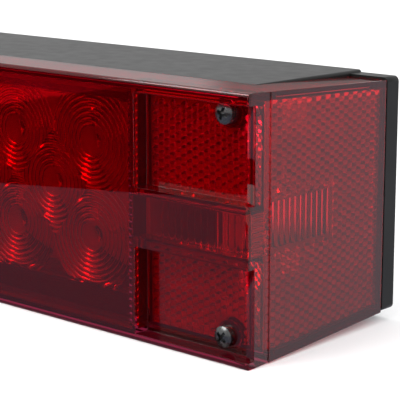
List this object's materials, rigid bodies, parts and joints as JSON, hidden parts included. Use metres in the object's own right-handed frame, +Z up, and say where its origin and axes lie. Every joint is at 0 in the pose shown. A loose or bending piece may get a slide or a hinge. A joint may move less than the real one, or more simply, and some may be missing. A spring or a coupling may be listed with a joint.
{
  "type": "trailer tail light",
  "caption": "Low-profile wrap-around LED combination trailer tail light: red lens with two recessed reflex pads over a black box housing with two rear mounting studs.",
  "frame": {"origin": "on the rear mounting face, midway between the two mounting studs", "axes": "+X along the lamp towards its wrap-around (kerb-side) end, +Y out of the mounting face along the studs, +Z up"},
  "size_m": [0.213, 0.0873, 0.0729],
  "materials": {
    "red_lens": "clear red moulded acrylic, polished",
    "black_abs": "black moulded ABS, satin gloss",
    "black_trim": "matt black moulded plastic",
    "seal_rubber": "soft black rubber",
    "clear_optic": "clear moulded polycarbonate, polished",
    "circuit_board": "white solder mask on glass-fibre board",
    "led_package": "clear epoxy over a pale package",
    "chip_black": "moulded black epoxy with tinned ends",
    "tinned_brass": "stamped, bright",
    "black_screw": "black zinc, semi-gloss",
    "zinc_steel": "bright zinc plate",
    "reflector_back": "pale grey moulded plastic",
    "side_back": "mid grey moulded plastic",
    "seam_sealant": "cured grey silicone",
    "lead_insulation": "PVC insulation",
    "potting_epoxy": "poured epoxy, glossy"
  },
  "bodies": {
    "root": {"rear_housing": "black_abs", "outer_lens": "red_lens", "lens_gasket": "seam_sealant", "inner_bezel": "black_trim", "led_optic_plate": "clear_optic", "main_circuit_board": "circuit_board", "main_leds": "led_package", "current_resistors": "chip_black", "protection_diodes": "chip_black", "current_regulators": "chip_black", "lead_terminals": "tinned_brass", "board_screws": "zinc_steel", "upper_reflector_back": "reflector_back", "lower_reflector_back": "reflector_back", "side_reflector_back": "side_back", "light_baffle": "reflector_back", "side_marker_board": "circuit_board", "side_marker_leds": "led_package", "marker_jumper_leads": "lead_insulation", "upper_lens_screw": "black_screw", "lower_lens_screw": "black_screw", "lens_screw_seals": "seal_rubber", "left_mounting_stud": "zinc_steel", "right_mounting_stud": "zinc_steel", "lead_grommet": "seal_rubber", "potting_plug": "potting_epoxy"}
  },
  "joints": []
}
